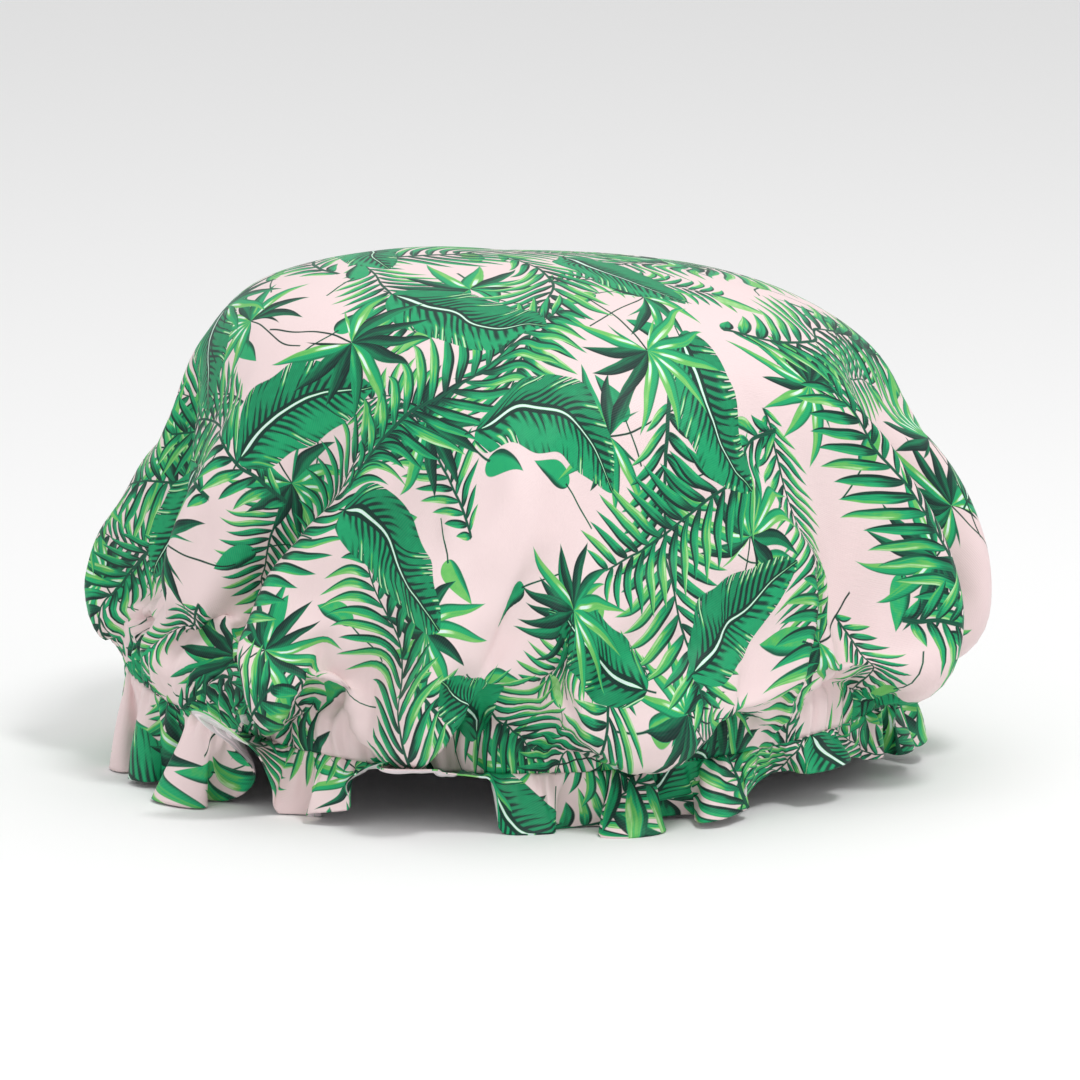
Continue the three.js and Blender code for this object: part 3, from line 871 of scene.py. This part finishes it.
def sprig(x, y, keep, shade, size, grain):
    """Leaflets along a bowed stem. Each is widest a third of the way out, dark at its foot and one edge."""
    length, leaflets, reach = 0.9, 17, 0.22
    spacing = length / leaflets
    along = x / length
    off = y - (shade - 0.5) * 0.22 * (1 - 4 * along * along)
    side = off.math("SIGN")
    far = abs(off)
    count = (x + length / 2 - far * 0.9 + far * far * 1.5) / spacing + side * 0.25
    number = count.floor()
    across = count - number - 0.5
    share = (number + 0.5) / leaflets
    grown = (share * (1.02 - share)).clamped().root() * 2
    chance = luck_of(keep, shade, number + side * 40)
    out = far / (grown * reach * (0.85 + 0.3 * chance))
    half = out.clamped().root() * (1 - out) * 1.08
    part = across / half
    mask = ((half - abs(across)) * (spacing * size / PRINT_EDGE)).clamped()
    brush = (out * 2.2 + number).strokes(part + number, 3.0)
    tone = chance.ease(0.4, 0.6) * 0.2 + 0.48 + brush * 0.42 + grain * 0.05
    tone = tone - (out + brush * 0.5).ease(0.4, 0.05) * 0.3 - (part + brush * 0.5).ease(0.35, 0.6) * 0.4
    tone = tone + (part + brush).ease(-0.3, -0.5) * out.ease(0.2, 0.4) * 0.16
    line = stem(far, x, 0.0065 - 0.004 * along, size, -length / 2, length / 2)
    return mask.most(line), tone.towards(0.26, line)


def broad_leaf(x, y, keep, shade, size, grain):
    """One oval leaf with a pale midrib, dark hatching beside the midrib and the rim, and a torn, wavy rim."""
    length, width = 0.84, 0.2
    along = x / length + 0.5
    off = y - (shade - 0.5) * 0.3 * (4 * along * (1 - along))
    side = off.math("SIGN")
    far = abs(off)
    wavy = (along * 19 + side * 2 + shade * 9).sine() * 0.05 + 1
    half = along.clamped().root() * (1 - along).clamped().math("POWER", 0.7) * (width * 2.25) * wavy
    count = (along - far * 1.1) * 19 + side * 0.31
    number = count.floor()
    across = count - number - 0.5
    chance = luck_of(keep, shade, number + side * 40)
    depth = far / half
    slit = abs(across).ease(0.38, 0.5) * chance.ease(0.6, 0.8) * depth.ease(0.5, 0.95)
    mask = ((half * (1 - 0.28 * slit) - far) * (size / PRINT_EDGE)).clamped()
    strokes = abs(across).ease(0.12, 0.42)
    hatch = strokes * (depth - chance * 0.5).ease(0.38, 0.05)
    inward = strokes * (depth + chance * 0.6).ease(1.0, 1.3)
    nick = abs(across - 0.1).ease(0.18, 0.07) * chance.ease(0.66, 0.74) * depth.ease(0.5, 0.7)
    tone = 0.5 + grain * 0.12 - side * 0.03 - (hatch * 0.85).most(inward * 0.6) * 0.45
    tone = tone.towards(0.9, nick)
    rib = (0.012 - 0.009 * along) * along.ease(-0.02, 0.12)
    tone = tone.towards(0.08, (rib * 3.4 - far).ease(0.0, 0.006) * 0.85)
    tone = tone.towards(1.0, ((rib - far) * (size / PRINT_EDGE)).clamped())
    stalk = stem(far, x, 0.007, size, -0.47, 0.03 - length / 2)
    return mask.most(stem(far, x, 0.006, size, 0.0, length / 2)).most(stalk), tone.towards(0.2, stalk)


def whorl(x, y, keep, shade, size, grain):
    """Pointed leaves that spread from one point, like the fingers of a hand, and a stalk on the open side."""
    fingers, reach, wide = 13, 0.46, 0.1
    far = (x * x + y * y).root()
    angle = y.math("ARCTAN2", x) / FULL_ANGLE + far * 0.12
    count = angle * fingers
    number = count.floor()
    across = count - number - 0.5
    chance = luck_of(keep, shade, number)
    out = far / (reach * (0.7 + 0.3 * chance))
    half = out.clamped().root() * (1 - out) * wide
    off = across * far * (FULL_ANGLE / fingers)
    mask = ((half - abs(off)) * (size / PRINT_EDGE)).clamped() * abs(angle).ease(0.405, 0.4)
    part = off / half
    brush = (out * 2.0 + number).strokes(part + number * 3, 2.2)
    tone = chance.ease(0.35, 0.65) * 0.44 + 0.16 + brush * 0.3 + grain * 0.05
    tone = tone + (part + brush).ease(0.1, -0.2) * 0.16 - (part + brush * 0.5).ease(0.5, 0.8) * 0.22
    glint = out.ease(0.1, 0.2) * out.ease(0.5, 0.3) * abs(part + 0.35).ease(0.26, 0.12)
    tone = tone.towards(0.98, glint * chance.ease(0.45, 0.55))
    line = stem(abs(y + 0.4 * x * x), x, 0.007, size, -0.46, 0.0)
    return mask.most(line), tone.towards(0.12, line)


def bud(x, y, keep, _, size, grain):
    """A small leaf on a thin curved stalk."""
    off = y - 0.25 * x * x
    far = abs(off)
    out = (x + 0.02) / 0.48
    half = out.clamped().root() * (1 - out) * 0.27
    mask = ((half - far) * (size / PRINT_EDGE)).clamped()
    line = stem(far, x, 0.012, size, -0.42, 0.02)
    tone = 0.5 + keep * 0.4 + grain * 0.14 - (off / half).ease(0.3, 0.9) * 0.4
    return mask.most(line), tone.towards(0.2, line)


# The print's layers from the lowest: motif, cell, turn of its grid, free play in the cell, and the share of
# the cells that it fills.
PRINT_LAYERS = (
    (sprig, 68 * MM, 0.05, 0.0, 0.85),
    (bud, 32 * MM, 0.5, 0.25, 0.8),
    (whorl, 57 * MM, 0.2, 0.06, 1.0),
    (sprig, 97 * MM, 0.9, 0.0, 1.0),
    (sprig, 91 * MM, 0.35, 0.0, 1.0),
    (broad_leaf, 61 * MM, 1.2, 0.06, 0.5),
    (whorl, 62 * MM, 1.0, 0.06, 0.5),
)


def foliage(flat):
    """The printed foliage: how much of it covers a point, and its tone."""
    wander = flat.node("ShaderNodeTexNoise", {}, {"Vector": flat, "Scale": 60.0, "Detail": 1.0}, 1)
    shift = wander.vector("SUBTRACT", (0.5, 0.5, 0.5)).vector("MULTIPLY", (PRINT_WANDER, PRINT_WANDER, 0))
    drawn = flat.vector("ADD", shift)
    grain = flat.noise(420.0, 3.0) - 0.5
    cover = tone = None
    for seed, (motif, size, turn, spare, share) in enumerate(PRINT_LAYERS):
        x, y, keep, shade = motif_place(drawn, size, turn, seed, spare)
        mask, shaded = motif(x, y, keep, shade, size, grain)
        mask = mask * keep.math("LESS_THAN", share)
        cover = mask if cover is None else cover.most(mask)
        tone = shaded if tone is None else tone.towards(shaded, mask)
    leaf = tone.node("ShaderNodeValToRGB", {"stops": LEAF_TONES}, {0: tone})
    return cover, leaf


# The weave's ridges: how far apart they are, and their slope.
TWILL_PITCH = 0.62 * MM
TWILL_SLOPE = math.radians(40)


def twill(flat):
    """Fine slanting ridges of the weave, from -1 to 1."""
    x, y, _ = flat.parts()
    across = y * math.cos(TWILL_SLOPE) - x * math.sin(TWILL_SLOPE)
    return (across * (FULL_ANGLE / TWILL_PITCH)).sine()


def new_material(name):
    """An empty material, and a value in its tree to build from."""
    material = bpy.data.materials.new(name)
    material.use_nodes = True
    material.node_tree.nodes.clear()
    return material, Value(material.node_tree)


def flat_place(start):
    """A point's place on the flat cloth."""
    return start.node("ShaderNodeUVMap", {"uv_map": "flat"}, {})


def finish_material(start, colour, roughness, height, depth, **fixed):
    """Ends a material in a Principled shader, with a bump of a depth where height is given."""
    inputs = {"Base Color": colour, "Roughness": roughness}
    if height is not None:
        bump = {"Height": height, "Distance": depth, "Strength": 1.0}
        inputs["Normal"] = start.node("ShaderNodeBump", {}, bump)
    inputs.update({name.replace("_", " "): value for name, value in fixed.items()})
    shader = start.node("ShaderNodeBsdfPrincipled", {}, inputs)
    start.node("ShaderNodeOutputMaterial", {}, {0: shader})


def satin_print():
    """The printed face of the twill: glossy, with a faint painted sheen of white on the ridges of its floats,
    a little rougher where ink lies.
    """
    material, start = new_material("printed_satin")
    flat = flat_place(start)
    cover, leaf = foliage(flat)
    ridge = twill(flat)
    cloud = flat.noise(9.0, 3.0)
    colour = cloud.between(*GROUND_TONES).tinted(leaf, cover)
    # A faint painted sheen: white mixed in on each ridge of the weave.
    colour = colour.tinted(rgb("ffffff"), (ridge * 0.5 + 0.5) * 0.012)
    crease = flat.noise(38.0, 4.0)
    height = ridge * 0.03 + crease
    finish_material(
        start, colour, 0.4 + cover * 0.05 + crease * 0.06, height, 0.35 * MM,
        Sheen_Weight=0.03, Sheen_Roughness=0.3, Specular_IOR_Level=0.22,
    )
    return material


def satin_reverse():
    """The back of the twill, where the print only shines through."""
    material, start = new_material("satin_reverse")
    flat = flat_place(start)
    cover, leaf = foliage(flat)
    ridge = twill(flat)
    pale = (cover * 0.3).between(rgb("f3e6ea"), leaf)
    finish_material(start, pale, 0.6, ridge, 0.012 * MM, Sheen_Weight=0.2, Sheen_Roughness=0.4)
    return material


def film():
    """Milky film that lets a little light through, with a fine crinkle."""
    material, start = new_material("milky_film")
    place = start.node("ShaderNodeTexCoord", {}, {}, 3)
    crinkle = place.noise(260.0, 4.0)
    cloud = place.noise(40.0, 2.0)
    colour = cloud.between(rgb("f4f1f4"), rgb("e6e3ea"))
    finish_material(start, colour, 0.26 + cloud * 0.12, crinkle, 0.4 * MM, Transmission_Weight=0.25, IOR=1.49)
    return material


def woven(name, light, dark, pitch, ribs, roughness):
    """A woven or knitted band: fine threads across its length, darker between so many ribs to the metre."""
    material, start = new_material(name)
    flat = flat_place(start)
    run, across, _ = flat.parts()
    weft = (run * (FULL_ANGLE / pitch)).sine()
    rows = (across * (math.pi / pitch)).sine()
    weave = weft * rows
    rib = abs((across * (math.pi * ribs)).sine())
    shade = (flat.noise(900.0, 2.0) * 0.5 + weave * 0.12 + 0.45 - rib * 0.35).clamped()
    colour = shade.between(light, dark)
    finish_material(start, colour, roughness, weave, 0.08 * MM, Sheen_Weight=0.25, Sheen_Roughness=0.5)
    return material


def ribbed_tape():
    """White and lilac ribbed tape."""
    return woven("ribbed_tape", rgb("f6f3fa"), rgb("cfc3e2"), 0.55 * MM, TAPE_RIBS / TAPE_WIDTH, 0.62)


def knit_elastic():
    """White knitted elastic."""
    return woven("knit_elastic", rgb("f4f3f4"), rgb("d6d4d8"), 0.7 * MM, ELASTIC_RIBS / ELASTIC_WIDTH, 0.75)


def sewing_thread():
    """White two-ply thread: slanting stripes round each stitch."""
    material, start = new_material("sewing_thread")
    run, turn, _ = flat_place(start).parts()
    ply = (run * (FULL_ANGLE / (0.7 * MM)) + turn * (2 * FULL_ANGLE)).sine()
    share = (ply * 0.4 + 0.5).clamped()
    colour = share.between(rgb("dcd8e2"), rgb("faf8fb"))
    finish_material(start, colour, 0.55, ply, 0.05 * MM, Sheen_Weight=0.2)
    return material


printed = satin_print()
reverse = satin_reverse()

crown_outer, crown_top, crown_down, crown_length = crown_grid()
inside = np.concatenate([np.zeros(CROWN_ROWS, int), (crown_down > crown_length - CASING_CLEAR)[::-1]])
crown_piece = dome("crown_cloth", crown_outer, crown_top, crown_down, CLOTH, [printed, reverse], inside)
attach(crown_piece, "root")
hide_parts("crown_panel")
crown_area = math.pi * crown_length**2
2 * crown_length
2 * crown_length

ruffle_outer = ruffle_grid()
ruffle_round = ring_lengths(ruffle_outer).mean()
ruffle_deep = np.linalg.norm(np.diff(ruffle_outer, axis=0), axis=-1).sum(0).mean()
along = np.linspace(0, ruffle_round, RUFFLE_COLUMNS + 1)
across = np.linspace(0, ruffle_deep, RUFFLE_ROWS)
strip = np.stack(np.meshgrid(along, -across), -1)
strip = np.concatenate([strip, strip[::-1]])
inside = np.repeat([0, 1], RUFFLE_ROWS)
ruffle_piece = loops_piece("ruffle_cloth", two_skins(ruffle_outer, CLOTH), strip, [printed, reverse], inside)
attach(ruffle_piece, "root")
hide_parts("ruffle")

film_outer, film_top = film_grid(crown_outer)
film_steps = np.concatenate([film_outer[:1] - film_top, np.diff(film_outer, axis=0)])
film_down = np.cumsum(np.linalg.norm(film_steps, axis=-1).mean(1))
one_finish = np.zeros(2 * FILM_ROWS, int)
film_piece = dome("liner_film", film_outer, film_top, film_down, FILM, film(), one_finish)
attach(film_piece, "root")
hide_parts("waterproof_liner")

thread = sewing_thread()
tape = ribbed(TAPE_INSET, TAPE_THICK, TAPE_WIDTH, TAPE_RIBS, RIB_DEPTH, False)
elastic = ribbed(ELASTIC_INSET, ELASTIC_THICK, ELASTIC_WIDTH, ELASTIC_RIBS, RIB_DEPTH, True)
elastic_heights = elastic[1] + (CASING_HEIGHT - ELASTIC_WIDTH) / 2
tape_band = casing_band("tape_band", *tape, ribbed_tape(), TAPE_COLUMNS)
elastic_ring = casing_band("elastic_ring", elastic[0], elastic_heights, knit_elastic(), ELASTIC_COLUMNS)
small_pieces = (
    (tape_band, "casing_tape", "casing_tape"),
    (elastic_ring, "elastic_band", "elastic"),
    (bar_tack("bar_tack", thread), "elastic_bar_tack", "thread"),
    (stitch_row("stitches_upper", STITCH_LEVELS[0], thread), "casing_stitch_upper", "thread"),
    (stitch_row("stitches_lower", STITCH_LEVELS[1], thread), "casing_stitch_lower", "thread"),
)
for piece, node, slot in small_pieces:
    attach(piece, "root")
    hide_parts(node)

# The floor, the light and the camera.
PHOTO_SIDE = 1080
PIXELS_PER_METRE = 3400
CAMERA_FAR = 2.0
CAMERA_HEIGHT = math.radians(10.8)
ORIGIN_PIXEL = (540, 757)
SKY = 0.74


def add_floor():
    """A wide pale floor just under the hem."""
    mesh = bpy.data.meshes.new("floor")
    side = 6.0
    corners = [(-side, -side, 0), (side, -side, 0), (side, side, 0), (-side, side, 0)]
    mesh.from_pydata(corners, [], [(0, 1, 2, 3)])
    floor = bpy.data.objects.new("floor", mesh)
    bpy.context.scene.collection.objects.link(floor)
    material, start = new_material("floor")
    finish_material(start, (0.93, 0.93, 0.93, 1), 0.9, None, 0)
    mesh.materials.append(material)


def add_light(name, place, aim, size, power):
    """A square soft light that looks at a point."""
    light = bpy.data.lights.new(name, "AREA")
    light.size = size
    light.energy = power
    holder = bpy.data.objects.new(name, light)
    holder.location = place
    holder.rotation_euler = (Vector(aim) - Vector(place)).to_track_quat("-Z", "Y").to_euler()
    bpy.context.scene.collection.objects.link(holder)


def add_camera():
    """The photograph's view: level ahead, a little from above, with the origin on its own pixel."""
    ahead = Vector((0, math.cos(CAMERA_HEIGHT), -math.sin(CAMERA_HEIGHT)))
    up = Vector((0, math.sin(CAMERA_HEIGHT), math.cos(CAMERA_HEIGHT)))
    aim = up * ((ORIGIN_PIXEL[1] - PHOTO_SIDE / 2) / PIXELS_PER_METRE)
    camera = bpy.data.cameras.new("camera")
    camera.lens = camera.sensor_width * CAMERA_FAR * PIXELS_PER_METRE / PHOTO_SIDE
    holder = bpy.data.objects.new("camera", camera)
    holder.location = aim - ahead * CAMERA_FAR
    holder.rotation_euler = ahead.to_track_quat("-Z", "Y").to_euler()
    bpy.context.scene.collection.objects.link(holder)
    bpy.context.scene.camera = holder


def add_sky():
    """Even white light from all round."""
    world = bpy.data.worlds.new("studio")
    world.use_nodes = True
    background = world.node_tree.nodes["Background"]
    background.inputs["Color"].default_value = (1, 1, 1, 1)
    background.inputs["Strength"].default_value = SKY
    bpy.context.scene.world = world


add_camera()
add_floor()
add_sky()
middle = (0, 0, CROWN_HEIGHT / 2)
add_light("key", (0.4, -0.55, 1.2), middle, 0.25, 6.2)
add_light("fill", (-0.9, -0.9, 0.5), middle, 0.9, 0.7)
add_light("above", (0, 0.4, 1.6), middle, 1.6, 4)
bpy.context.scene.view_settings.view_transform = "Standard"
